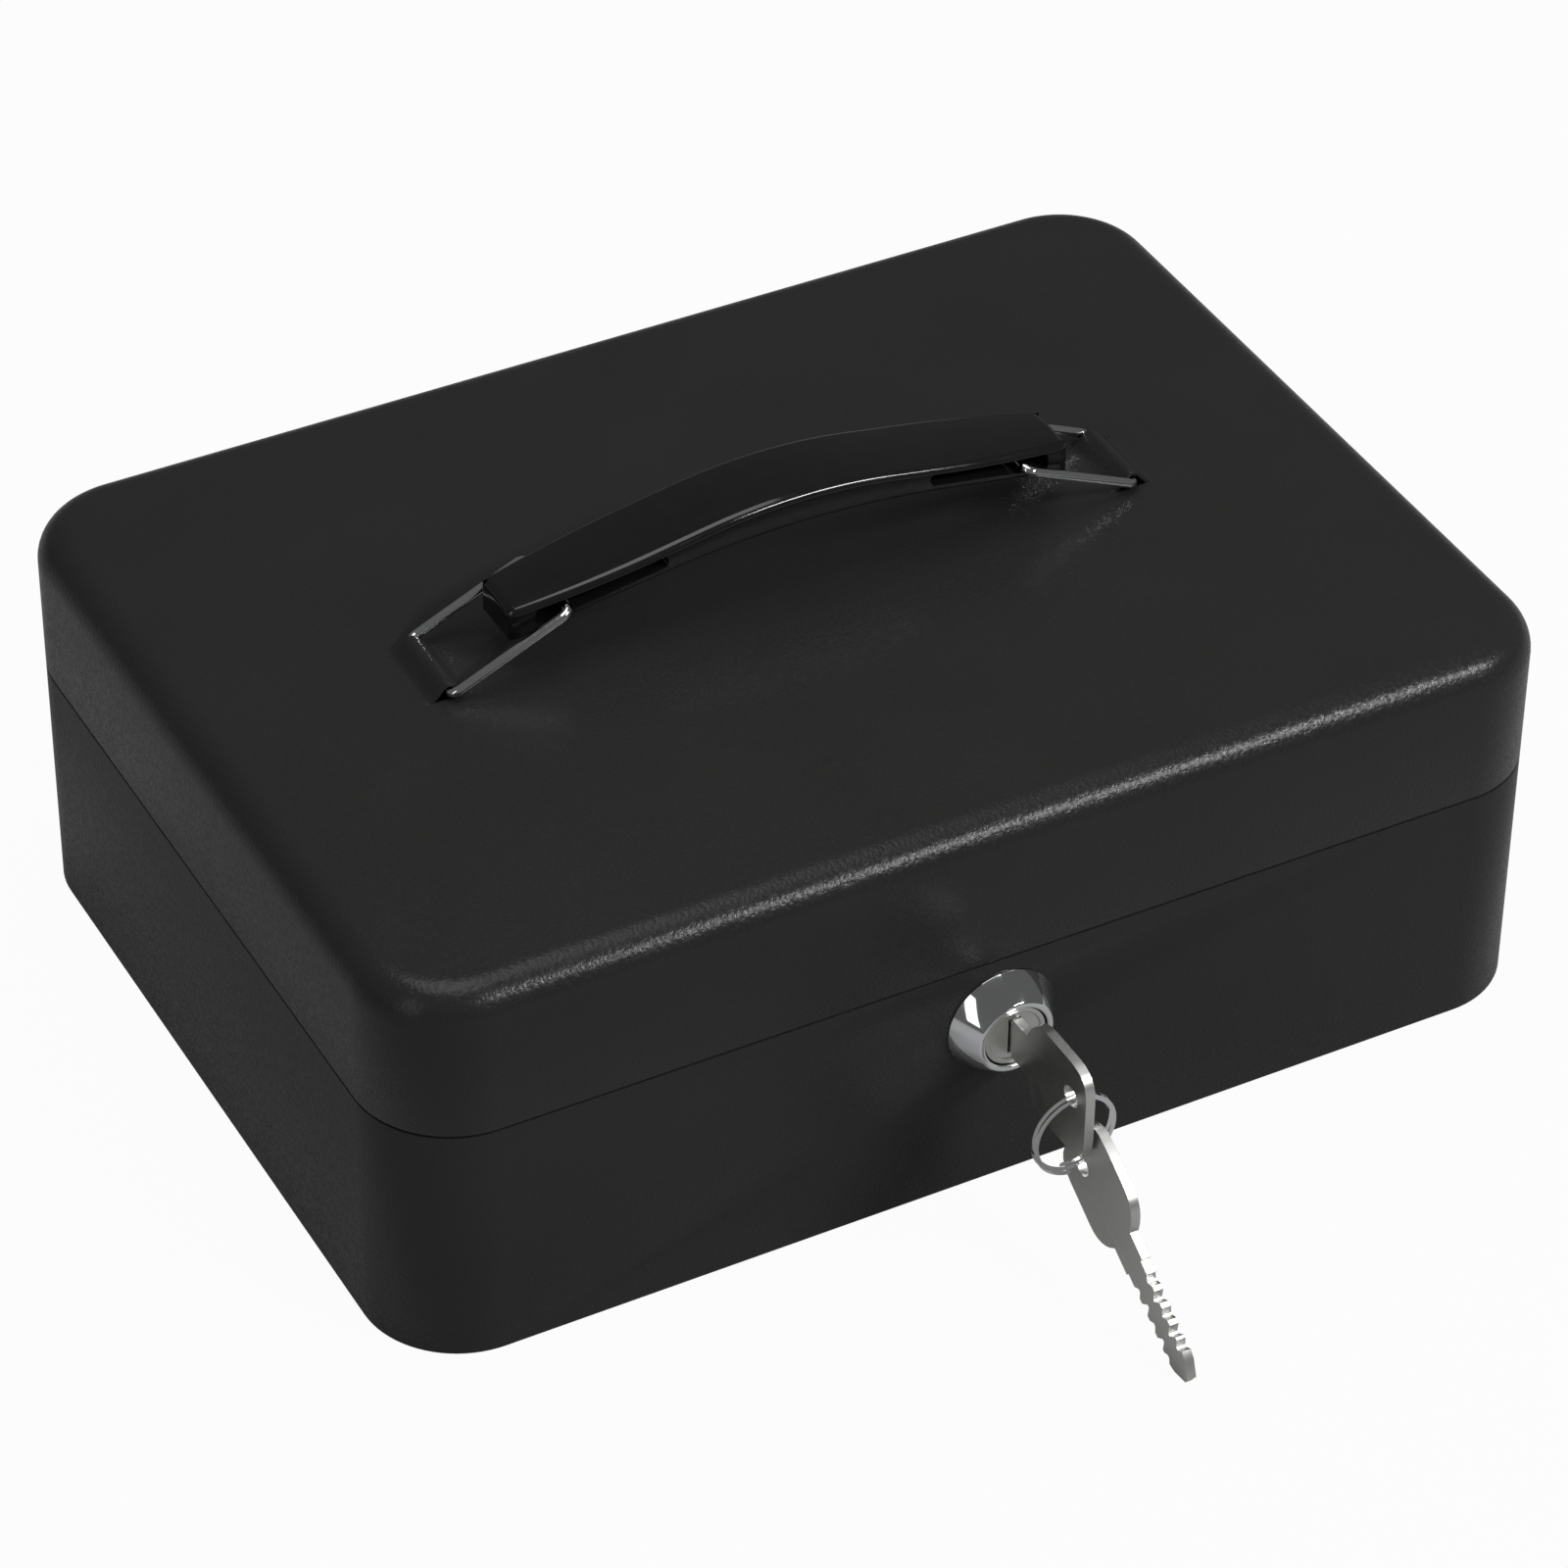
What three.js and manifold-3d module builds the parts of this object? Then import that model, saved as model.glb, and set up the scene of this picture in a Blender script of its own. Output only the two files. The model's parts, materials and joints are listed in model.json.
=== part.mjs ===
// Steel cash box with a drop handle, a cam lock with keys and a lift-out coin tray.
// Millimetres, +Z up, origin at the centre of the underside, -Y towards the lock.
import * as THREE from 'three';
import { mergeVertices } from 'three/addons/utils/BufferGeometryUtils.js';
import Module from 'manifold-3d';

const wasm = await Module();
wasm.setup();

// ---------------------------------------------------------------- dimensions
const clearance = 0.3;                 // running gap between separate pieces
const degree = Math.PI / 180;

const box = {
  width: 250,
  depth: 181.5,
  height: 86,
  seam: 54,                            // underside of the lid's skirt
  seamGap: 0.4,
  cornerRadius: 20,
  topRadius: 7.5,
  footRadius: 0.5,
  sheet: 0.8,
  neckHeight: 4,                       // upstand of the case inside the skirt
  neckGap: 0.4,
  floorFlange: 8,
};
const halfWidth = box.width / 2;
const halfDepth = box.depth / 2;
const caseTop = box.seam - box.seamGap;

const bridge = { pitch: 75, halfSpan: 4.2, rise: 2.7, halfLength: 8.6 };
const bail = { wire: 1.0, leg: 27.5, halfSpan: 9.8, bend: 2, angle: 24 * degree, gap: 0.6 };
const grip = {
  halfLength: 61,
  width: 17.8,
  endWidth: 13.2,
  parallel: 32,                        // half length of the parallel middle
  topHeight: 23.1,
  topArc: 110,
  topSlope: 0.175,
  bottomHeight: 16.1,
  bottomArc: 195,
  slotInner: 28.5,
  slotOuter: 56,
  rail: 1.4,                           // plastic below a slot
  cover: 1.8,                          // plastic above a slot
};

const lock = {
  height: 38.9,
  bore: 6.8,
  barrelWall: 0.9,
  lip: 1.1,                            // width of the bezel's front face
  flare: 3.9,                          // how much wider the bezel is at its foot
  stand: 6,                            // how far the bezel stands proud
  barrelBack: 16,
  plugRecess: 0.6,
  plugBack: 22,
  tailStep: 1.8,
  camThickness: 1.5,
  screwHead: 2,
  screwRadius: 1.5,
  nutWall: 4.8,
  nutThickness: 3.2,
};
const barrelRadius = lock.bore + lock.barrelWall;
const bezelRadius = lock.bore + lock.lip;
const cam = { hub: 6.2, innerRadius: 11.4, outerRadius: 14.6, start: -136, arm: -142, end: -56 };
const strike = { halfWidth: 8, lipHalfWidth: 5, sheet: 1, lipHeight: 8.7, flange: 12, lipLength: 4.7 };

const key = {
  thickness: 2,
  length: 51,
  bow: 22,
  bowHalf: 10.6,
  bowCorner: 6,
  neckEnd: 27.5,
  neckHalf: 4.6,
  bladeHalf: 3.7,
  holeAt: 5.5,
  holeOffset: 2.5,
  holeLength: 5,
  holeHeight: 4.2,
  cuts: [31.5, 35, 38.5, 42, 45],
  cutDepths: [1.0, 1.9, 1.2, 2.1, 1.4],
};
const keyring = { radius: 8.6, wire: 0.5, pitch: 1.25, turns: 2, endsAt: 100 * degree };
const spare = { offset: 2.8, lean: 58.3 * degree, slack: 0.5 };

const hinge = {
  pitch: 70,
  axisOut: 2.4,
  knuckle: 2,
  bore: 1.2,
  pin: 0.9,
  leaf: 1,
  leafHeight: 13,
  halfWidth: 20,
  middle: 6.7,
  notch: 2.7,
};

const tray = {
  sideGap: 4.5,                        // from each end of the case's neck
  frontGap: 1.75,                      // behind the cam's screw
  backGap: 2.75,
  bottom: 24,
  height: 26,
  corner: 12,
  wall: 1.6,
  rim: 2.5,
  rimDrop: 2,
  coinCups: 5,
  noteDepth: 51.7,                     // the long pocket behind the cups
  pocketCorner: 5,
};
const rest = { sheet: 0.8, ledge: 12, height: 12, endGap: 8.75 };

// ---------------------------------------------------------------- geometry helpers
const planes = {
  // sketch x, sketch y and extrusion direction of each working plane
  plan: [[1, 0, 0], [0, 1, 0], [0, 0, 1]],
  front: [[1, 0, 0], [0, 0, 1], [0, -1, 0]],
  side: [[0, 1, 0], [0, 0, 1], [1, 0, 0]],
};

function signedVolume(positions, triangles) {
  const a = new THREE.Vector3();
  const b = new THREE.Vector3();
  const c = new THREE.Vector3();
  let volume = 0;
  for (let i = 0; i < triangles.length; i += 3) {
    a.fromArray(positions, 3 * triangles[i]);
    b.fromArray(positions, 3 * triangles[i + 1]);
    c.fromArray(positions, 3 * triangles[i + 2]);
    volume += a.dot(b.cross(c));
  }
  return volume;
}

// One closed body from a three.js geometry, whichever way its faces point.
function solid(source) {
  const bare = source.index ? source.toNonIndexed() : source.clone();
  bare.deleteAttribute('normal');
  bare.deleteAttribute('uv');
  const merged = mergeVertices(bare, 1e-4);
  const positions = merged.attributes.position.array;
  const index = merged.index.array;
  const triangles = [];
  for (let i = 0; i < index.length; i += 3) {
    const [p, q, r] = [index[i], index[i + 1], index[i + 2]];
    if (p !== q && q !== r && r !== p) {
      triangles.push(p, q, r);
    }
  }
  if (signedVolume(positions, triangles) < 0) {
    triangles.reverse();
  }
  const vertProperties = new Float32Array(positions);
  const triVerts = new Uint32Array(triangles);
  return new wasm.Manifold(new wasm.Mesh({ numProp: 3, vertProperties, triVerts }));
}

function geometry(body) {
  const mesh = body.getMesh();
  const result = new THREE.BufferGeometry();
  result.setAttribute('position', new THREE.BufferAttribute(new Float32Array(mesh.vertProperties), 3));
  result.setIndex(new THREE.BufferAttribute(new Uint32Array(mesh.triVerts), 1));
  result.computeVertexNormals();
  return result;
}

function join(...bodies) {
  return bodies.reduce((sum, body) => sum.add(body));
}

function cut(body, ...tools) {
  return tools.reduce((left, tool) => left.subtract(tool), body);
}

// A sketch extruded from `start` along the working plane's own direction.
function extrude(shape, plane, start, depth, curveSegments = 8) {
  const source = new THREE.ExtrudeGeometry(shape, { depth, bevelEnabled: false, curveSegments });
  const [x, y, z] = planes[plane].map((axis) => new THREE.Vector3(...axis));
  source.translate(0, 0, start);
  source.applyMatrix4(new THREE.Matrix4().makeBasis(x, y, z));
  return solid(source);
}

function block(x0, x1, y0, y1, z0, z1) {
  const source = new THREE.BoxGeometry(x1 - x0, y1 - y0, z1 - z0);
  source.translate((x0 + x1) / 2, (y0 + y1) / 2, (z0 + z1) / 2);
  return solid(source);
}

function polygon(points) {
  return new THREE.Shape(points.map(([x, y]) => new THREE.Vector2(x, y)));
}

// A solid of revolution about a line along Y; profile points are [radius, y].
function turned(profile, x, z, segments = 32) {
  const points = profile.map(([radius, y]) => new THREE.Vector2(radius, y));
  const source = new THREE.LatheGeometry(points, segments);
  source.translate(x, 0, z);
  return solid(source);
}

// A solid of revolution about a line along X.
function rod(radius, x0, x1, y, z, segments = 16) {
  const source = new THREE.CylinderGeometry(radius, radius, x1 - x0, segments);
  source.rotateZ(Math.PI / 2);
  source.translate((x0 + x1) / 2, y, z);
  return solid(source);
}

// A rounded rectangle at height z, with the same number of points for any size.
function loop(x0, x1, y0, y1, radius, z, steps = 7) {
  const points = [];
  const corners = [[x1, y1, 0], [x0, y1, 90], [x0, y0, 180], [x1, y0, 270]];
  for (const [x, y, startAngle] of corners) {
    const centreX = x - Math.sign(x - (x0 + x1) / 2) * radius;
    const centreY = y - Math.sign(y - (y0 + y1) / 2) * radius;
    for (let i = 0; i <= steps; i += 1) {
      const angle = (startAngle + (90 * i) / steps) * degree;
      points.push([centreX + radius * Math.cos(angle), centreY + radius * Math.sin(angle), z]);
    }
  }
  return points;
}

// The box's outline, drawn in by `inset` all round.
function boxLoop(inset, z) {
  return loop(inset - halfWidth, halfWidth - inset, inset - halfDepth, halfDepth - inset,
    box.cornerRadius - inset, z);
}

// Skins a stack of loops: closed on itself as a ring, or capped at both ends.
function loft(loops, ring = false) {
  const count = loops[0].length;
  const positions = loops.flat(2);
  const index = [];
  const last = ring ? loops.length : loops.length - 1;
  for (let i = 0; i < last; i += 1) {
    const low = i * count;
    const high = ((i + 1) % loops.length) * count;
    for (let j = 0; j < count; j += 1) {
      const next = (j + 1) % count;
      index.push(low + j, low + next, high + next, low + j, high + next, high + j);
    }
  }
  if (!ring) {
    const top = (loops.length - 1) * count;
    for (let j = 1; j < count - 1; j += 1) {
      index.push(0, j + 1, j, top, top + j, top + j + 1);
    }
  }
  const source = new THREE.BufferGeometry();
  source.setAttribute('position', new THREE.Float32BufferAttribute(positions, 3));
  source.setIndex(index);
  return solid(source);
}

// ---------------------------------------------------------------- case
const bandInset = box.sheet + box.neckGap;
const neckTop = box.seam + box.neckHeight;
const lockY = -halfDepth;

function caseBand() {
  const section = [
    [box.footRadius, 0],
    [0, box.footRadius],
    [0, caseTop],
    [bandInset, caseTop],
    [bandInset, neckTop],
    [bandInset + box.sheet, neckTop],
    [bandInset + box.sheet, caseTop - box.sheet],
    [box.sheet, caseTop - 2 * box.sheet],
    [box.sheet, 0],
  ];
  const walls = loft(section.map(([inset, z]) => boxLoop(inset, z)), true);
  const hole = turned([[0, lockY - 2], [barrelRadius + clearance, lockY - 2],
    [barrelRadius + clearance, lockY + 4], [0, lockY + 4]], 0, lock.height);
  return cut(walls, hole);
}

function caseFloor() {
  const outer = box.sheet + clearance;
  const section = [
    [outer + box.footRadius, 0],
    [outer, box.footRadius],
    [outer, box.floorFlange],
    [outer + box.sheet, box.floorFlange],
    [outer + box.sheet, 2 * box.sheet],
    [outer + 2 * box.sheet, box.sheet],
  ];
  return loft(section.map(([inset, z]) => boxLoop(inset, z)));
}

function trayRest(side) {
  const wall = halfWidth - box.sheet;
  const outline = polygon([
    [side * wall, tray.bottom - rest.height],
    [side * wall, tray.bottom],
    [side * (wall - rest.ledge), tray.bottom],
    [side * (wall - rest.ledge), tray.bottom - rest.sheet],
    [side * (wall - rest.sheet), tray.bottom - rest.sheet],
    [side * (wall - rest.sheet), tray.bottom - rest.height],
  ]);
  const halfLength = halfDepth - box.cornerRadius - rest.endGap;
  return extrude(outline, 'front', -halfLength, 2 * halfLength);
}

// ---------------------------------------------------------------- lid
function lidShell() {
  const inner = box.topRadius - box.sheet;
  const shoulder = box.height - box.topRadius;
  const steps = [0, 1, 2, 3, 4, 5].map((i) => i * 18 * degree);
  const roll = (radius, angle) => [
    box.topRadius - radius * Math.cos(angle),
    shoulder + radius * Math.sin(angle),
  ];
  const section = [
    ...steps.toReversed().map((angle) => roll(inner, angle)),
    [box.sheet, box.seam],
    [0, box.seam],
    ...steps.map((angle) => roll(box.topRadius, angle)),
  ];
  let shell = loft(section.map(([inset, z]) => boxLoop(inset, z)));
  for (const side of [-1, 1]) {
    const x = side * bridge.pitch;
    const window = block(x - bridge.halfSpan, x + bridge.halfSpan,
      -bridge.halfLength, bridge.halfLength, box.height - 2, box.height + 2);
    shell = join(cut(shell, window), lidBridge(x));
  }
  return shell;
}

// A strip of the lid pressed up into an arch, which holds the end of a bail.
function lidBridge(x) {
  const { halfSpan, rise, halfLength } = bridge;
  const radius = (halfSpan ** 2 + rise ** 2) / (2 * rise);
  const centre = box.height + rise - radius;
  const outerRadius = radius + box.sheet;
  const arc = (r) => {
    const half = Math.acos((radius - rise) / r);
    return [-4, -3, -2, -1, 0, 1, 2, 3, 4].map((i) => {
      const angle = (half * i) / 4;
      return [x + r * Math.sin(angle), centre + r * Math.cos(angle)];
    });
  };
  const outside = arc(outerRadius);
  const foot = outside[8][0] - x;
  const inside = box.height - box.sheet;
  const outline = polygon([
    [x - foot, inside],
    ...outside,
    [x + foot, inside],
    [x + halfSpan, inside],
    ...arc(radius).reverse(),
    [x - halfSpan, inside],
  ]);
  return extrude(outline, 'front', -halfLength, 2 * halfLength);
}

// The bracket inside the lid's front that the lock's cam hooks over.
function lidStrike() {
  const front = lockY + box.sheet;
  const plateBack = lockY + lock.plugBack - 1.5;
  const web = neckTop + 2;
  const lip = lock.height + strike.lipHeight;
  const outline = polygon([
    [front, web],
    [front, web + strike.flange],
    [front + strike.sheet, web + strike.flange],
    [front + strike.sheet, web + strike.sheet],
    [plateBack, web + strike.sheet],
    [plateBack, lip + strike.sheet],
    [plateBack - strike.sheet, lip + strike.sheet],
    [plateBack - strike.sheet, web],
  ]);
  const bracket = extrude(outline, 'side', -strike.halfWidth, 2 * strike.halfWidth);
  const tongue = block(-strike.lipHalfWidth, strike.lipHalfWidth,
    plateBack - strike.sheet, plateBack + strike.lipLength, lip, lip + strike.sheet);
  return join(bracket, tongue);
}

// ---------------------------------------------------------------- hinges
const hingeY = halfDepth + hinge.axisOut;
const hingeZ = box.seam - box.seamGap / 2;

function knuckle(x0, x1) {
  return cut(rod(hinge.knuckle, x0, x1, hingeY, hingeZ),
    rod(hinge.bore, x0 - 1, x1 + 1, hingeY, hingeZ));
}

// A leaf lies flat on the back wall; `up` is 1 for the lid's and -1 for the case's.
function hingeLeaf(x, up) {
  const back = halfDepth + hinge.leaf;
  const slab = (from, to, near, far) => block(x + from, x + to, halfDepth, back,
    hingeZ + Math.min(up * near, up * far), hingeZ + Math.max(up * near, up * far));
  const spans = up > 0
    ? [[-hinge.middle, hinge.middle]]
    : [[-hinge.halfWidth, -hinge.middle - clearance], [hinge.middle + clearance, hinge.halfWidth]];
  const plate = slab(-hinge.halfWidth, hinge.halfWidth, hinge.notch, hinge.leafHeight);
  const tabs = spans.flatMap(([from, to]) => [
    slab(from, to, clearance, hinge.notch),
    knuckle(x + from, x + to),
  ]);
  const bore = rod(hinge.bore, x - hinge.halfWidth - 1, x + hinge.halfWidth + 1, hingeY, hingeZ);
  return cut(join(plate, ...tabs), bore);
}

function hingePin(x) {
  return rod(hinge.pin, x - hinge.halfWidth, x + hinge.halfWidth, hingeY, hingeZ);
}

// ---------------------------------------------------------------- lock
const faceY = lockY - lock.stand;

function lockHousing() {
  const back = lockY + lock.barrelBack;
  return turned([
    [lock.bore, faceY],
    [bezelRadius, faceY],
    [bezelRadius + lock.flare, lockY],
    [barrelRadius, lockY],
    [barrelRadius, back],
    [lock.bore, back],
    [lock.bore, faceY],
  ], 0, lock.height, 40);
}

function lockNut() {
  const nutRadius = barrelRadius + lock.nutWall;
  const corners = [0, 1, 2, 3, 4, 5].map((i) => [
    nutRadius * Math.cos(i * 60 * degree),
    lock.height + nutRadius * Math.sin(i * 60 * degree),
  ]);
  const outline = polygon(corners);
  const hole = new THREE.Path();
  hole.absarc(0, lock.height, barrelRadius + clearance, 0, 2 * Math.PI, true);
  outline.holes.push(hole);
  return extrude(outline, 'front', -(lockY + box.sheet + lock.nutThickness), lock.nutThickness);
}

const plugRadius = lock.bore - clearance;
function lockPlug() {
  const front = faceY + lock.plugRecess;
  const shoulder = lockY + lock.barrelBack + clearance;
  const end = lockY + lock.plugBack;
  const tailRadius = lock.bore - lock.tailStep;
  const body = turned([
    [0, front],
    [plugRadius, front],
    [plugRadius, shoulder],
    [tailRadius, shoulder],
    [tailRadius, end],
    [0, end],
  ], 0, lock.height, 28);
  const halfSlot = key.thickness / 2 + clearance;
  const halfTall = key.bladeHalf + clearance;
  const keyway = block(-halfSlot, halfSlot, front - 1, keyTip + 2 * clearance,
    lock.height - halfTall, lock.height + halfTall);
  const screwHole = turned([[0, end - 2.8], [lock.screwRadius + clearance, end - 2.8],
    [lock.screwRadius + clearance, end + 1], [0, end + 1]], 0, lock.height, 12);
  return cut(body, keyway, screwHole);
}

// A hub and arm that carry an arc of a hook; angles are from +Z towards +X.
function lockCam() {
  const at = (radius, angle) => [
    radius * Math.sin(angle * degree),
    lock.height + radius * Math.cos(angle * degree),
  ];
  const start = -(lockY + lock.plugBack + lock.camThickness);
  const hub = new THREE.Shape();
  hub.absarc(0, lock.height, cam.hub, 0, 2 * Math.PI, false);
  const hole = new THREE.Path();
  hole.absarc(0, lock.height, lock.screwRadius + clearance, 0, 2 * Math.PI, true);
  hub.holes.push(hole);
  const sweep = [0, 1, 2, 3, 4, 5, 6].map((i) => cam.start + ((cam.end - cam.start) * i) / 6);
  const finger = polygon([
    ...sweep.map((angle) => at(cam.outerRadius, angle)),
    ...sweep.toReversed().map((angle) => at(cam.innerRadius, angle)),
  ]);
  const arm = polygon([
    at(cam.hub - 2, cam.arm - 20),
    at(cam.outerRadius, cam.arm - 4),
    at(cam.outerRadius, cam.start + 6),
    at(cam.hub - 2, cam.arm + 30),
  ]);
  const piece = (shape) => extrude(shape, 'front', start, lock.camThickness, 10);
  return join(piece(hub), piece(finger), piece(arm));
}

function camScrew() {
  const seat = lockY + lock.plugBack + lock.camThickness;
  return turned([
    [0, seat - 4],
    [lock.screwRadius, seat - 4],
    [lock.screwRadius, seat],
    [lock.screwRadius + 2.4, seat],
    [lock.screwRadius + 1.8, seat + lock.screwHead],
    [0, seat + lock.screwHead],
  ], 0, lock.height, 16);
}

// ---------------------------------------------------------------- keys
const keyBow = faceY + lock.plugRecess - key.neckEnd - clearance;   // outer end of the bow
const keyTip = keyBow + key.length;

// Key outline: x runs from the bow's outer end to the tip, y across it.
function keyBlank() {
  const { bow, bowHalf, bowCorner, neckEnd, neckHalf, bladeHalf, length } = key;
  const shape = new THREE.Shape();
  shape.moveTo(bowCorner, -bowHalf);
  shape.lineTo(bow - 7, -bowHalf);
  shape.quadraticCurveTo(bow - 2, -bowHalf, bow, -neckHalf);
  shape.lineTo(neckEnd, -neckHalf);
  shape.lineTo(neckEnd, -bladeHalf);
  key.cuts.forEach((at, i) => {
    shape.lineTo(at - 1.2, -bladeHalf);
    shape.lineTo(at - 0.3, key.cutDepths[i] - bladeHalf);
    shape.lineTo(at + 0.3, key.cutDepths[i] - bladeHalf);
    shape.lineTo(at + 1.2, -bladeHalf);
  });
  shape.lineTo(length - 3, -bladeHalf + 0.6);
  shape.lineTo(length, -0.6);
  shape.lineTo(length, 0.6);
  shape.lineTo(length - 3, bladeHalf - 0.6);
  key.cuts.toReversed().forEach((at, i) => {
    shape.lineTo(at + 1.2, bladeHalf);
    shape.lineTo(at + 0.3, bladeHalf - key.cutDepths[i]);
    shape.lineTo(at - 0.3, bladeHalf - key.cutDepths[i]);
    shape.lineTo(at - 1.2, bladeHalf);
  });
  shape.lineTo(neckEnd, bladeHalf);
  shape.lineTo(neckEnd, neckHalf);
  shape.lineTo(bow, neckHalf);
  shape.quadraticCurveTo(bow - 2, bowHalf, bow - 7, bowHalf);
  shape.lineTo(bowCorner, bowHalf);
  shape.quadraticCurveTo(0, bowHalf, 0, bowHalf - bowCorner);
  shape.lineTo(0, bowCorner - bowHalf);
  shape.quadraticCurveTo(0, -bowHalf, bowCorner, -bowHalf);
  const hole = new THREE.Path();
  hole.absellipse(key.holeAt, key.holeOffset, key.holeLength / 2, key.holeHeight / 2, 0, 2 * Math.PI, true);
  shape.holes.push(hole);
  return shape;
}

function keySource() {
  const options = { depth: key.thickness, bevelEnabled: false, curveSegments: 6 };
  const source = new THREE.ExtrudeGeometry(keyBlank(), options);
  source.translate(0, 0, -key.thickness / 2);
  const [x, y, z] = planes.side.map((axis) => new THREE.Vector3(...axis));
  source.applyMatrix4(new THREE.Matrix4().makeBasis(x, y, z));
  return source;
}

function lockKey() {
  const source = keySource();
  source.translate(0, keyBow, lock.height);
  return solid(source);
}

// The ring's top hangs in the key's hole, with room for both of its turns to swing.
const ringY = keyBow + key.holeAt;
const ringHang = clearance + keyring.wire + keyring.pitch / 2;
const ringTop = lock.height + key.holeOffset - key.holeHeight / 2 + ringHang;
const ringCentre = ringTop - keyring.radius;

class RingCurve extends THREE.Curve {
  getPoint(t, target = new THREE.Vector3()) {
    const angle = 2 * Math.PI * keyring.turns * t + keyring.endsAt;
    return target.set(
      keyring.radius * Math.sin(angle),
      ringY + keyring.pitch * (keyring.turns * t - keyring.turns / 2),
      ringCentre + keyring.radius * Math.cos(angle),
    );
  }
}

function wireSection(radius, sides) {
  const points = [];
  for (let i = 0; i < sides; i += 1) {
    const angle = (2 * Math.PI * i) / sides;
    points.push([radius * Math.cos(angle), radius * Math.sin(angle)]);
  }
  return polygon(points);
}

function keyRing() {
  const options = { steps: 60, extrudePath: new RingCurve() };
  return solid(new THREE.ExtrudeGeometry(wireSection(keyring.wire, 6), options));
}

// The second key hangs from the ring's foot and leans out, its tip just off the ground.
function spareKey() {
  const sag = keyring.radius - Math.sqrt(keyring.radius ** 2 - spare.offset ** 2);
  const wireAt = key.holeAt - key.holeLength / 2 + keyring.pitch / 2 + keyring.wire + spare.slack;
  const source = keySource();
  source.translate(0, -wireAt, -key.holeOffset);
  source.rotateX(Math.PI + Math.PI / 2 - spare.lean);
  source.translate(spare.offset, ringY, ringCentre - keyring.radius + sag);
  return solid(source);
}

// ---------------------------------------------------------------- handle
const pivotZ = box.height + bridge.rise - clearance - bail.wire;

function gripTop(x) {
  const flat = grip.topArc * grip.topSlope;
  const along = Math.abs(x);
  const curved = Math.min(along, flat);
  return grip.topHeight - curved ** 2 / (2 * grip.topArc) - Math.max(along - flat, 0) * grip.topSlope;
}

function gripBottom(x) {
  return grip.bottomHeight - x ** 2 / (2 * grip.bottomArc);
}

function range(from, to, count) {
  return Array.from({ length: count + 1 }, (_, i) => from + ((to - from) * i) / count);
}

function gripSlot(side) {
  const { slotInner, slotOuter, rail, cover, width } = grip;
  const stations = range(slotInner, slotOuter, 6);
  const low = stations.map((x) => [side * x, box.height + gripBottom(x) + rail]);
  const high = stations.map((x) => [side * x, box.height + gripTop(x) - cover]);
  return extrude(polygon([...low, ...high.reverse()]), 'front', -width, 2 * width);
}

function gripBody() {
  const { halfLength, width, endWidth, parallel } = grip;
  const stations = range(-halfLength, halfLength, 32);
  const profile = polygon([
    ...stations.map((x) => [x, box.height + gripBottom(x)]),
    ...stations.toReversed().map((x) => [x, box.height + gripTop(x)]),
  ]);
  const half = width / 2;
  const end = endWidth / 2;
  const plan = new THREE.Shape();
  plan.moveTo(-parallel, -half);
  plan.lineTo(parallel, -half);
  plan.quadraticCurveTo(parallel + 15, -half, halfLength - 2.5, -end);
  plan.quadraticCurveTo(halfLength, 0.6 - end, halfLength, 3.5 - end);
  plan.lineTo(halfLength, end - 3.5);
  plan.quadraticCurveTo(halfLength, end - 0.6, halfLength - 2.5, end);
  plan.quadraticCurveTo(parallel + 15, half, parallel, half);
  plan.lineTo(-parallel, half);
  plan.quadraticCurveTo(-parallel - 15, half, 2.5 - halfLength, end);
  plan.quadraticCurveTo(-halfLength, end - 0.6, -halfLength, end - 3.5);
  plan.lineTo(-halfLength, 3.5 - end);
  plan.quadraticCurveTo(-halfLength, 0.6 - end, 2.5 - halfLength, -end);
  plan.quadraticCurveTo(-parallel - 15, -half, -parallel, -half);
  const arch = extrude(profile, 'front', -half - 1, width + 2);
  const outline = extrude(plan, 'plan', box.height, grip.topHeight + 2, 4);
  return cut(arch.intersect(outline), gripSlot(-1), gripSlot(1));
}

// A wire loop in its own plane: x runs from the pivot to the cross bar, y along the pivot.
function bailWire(side) {
  const { leg, halfSpan, bend, gap, wire, angle } = bail;
  const path = new THREE.CurvePath();
  const line = (a, b) => path.add(new THREE.LineCurve3(new THREE.Vector3(...a), new THREE.Vector3(...b)));
  const turn = (a, b, c) => path.add(new THREE.QuadraticBezierCurve3(
    new THREE.Vector3(...a), new THREE.Vector3(...b), new THREE.Vector3(...c)));
  line([0, gap / 2, 0], [0, halfSpan - bend, 0]);
  turn([0, halfSpan - bend, 0], [0, halfSpan, 0], [bend, halfSpan, 0]);
  line([bend, halfSpan, 0], [leg - bend, halfSpan, 0]);
  turn([leg - bend, halfSpan, 0], [leg, halfSpan, 0], [leg, halfSpan - bend, 0]);
  line([leg, halfSpan - bend, 0], [leg, bend - halfSpan, 0]);
  turn([leg, bend - halfSpan, 0], [leg, -halfSpan, 0], [leg - bend, -halfSpan, 0]);
  line([leg - bend, -halfSpan, 0], [bend, -halfSpan, 0]);
  turn([bend, -halfSpan, 0], [0, -halfSpan, 0], [0, bend - halfSpan, 0]);
  line([0, bend - halfSpan, 0], [0, -gap / 2, 0]);
  const source = new THREE.ExtrudeGeometry(wireSection(wire, 8), { steps: 56, extrudePath: path });
  source.rotateY(-angle);
  if (side > 0) {
    source.rotateZ(Math.PI);
  }
  source.translate(side * bridge.pitch, 0, pivotZ);
  return solid(source);
}

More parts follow.
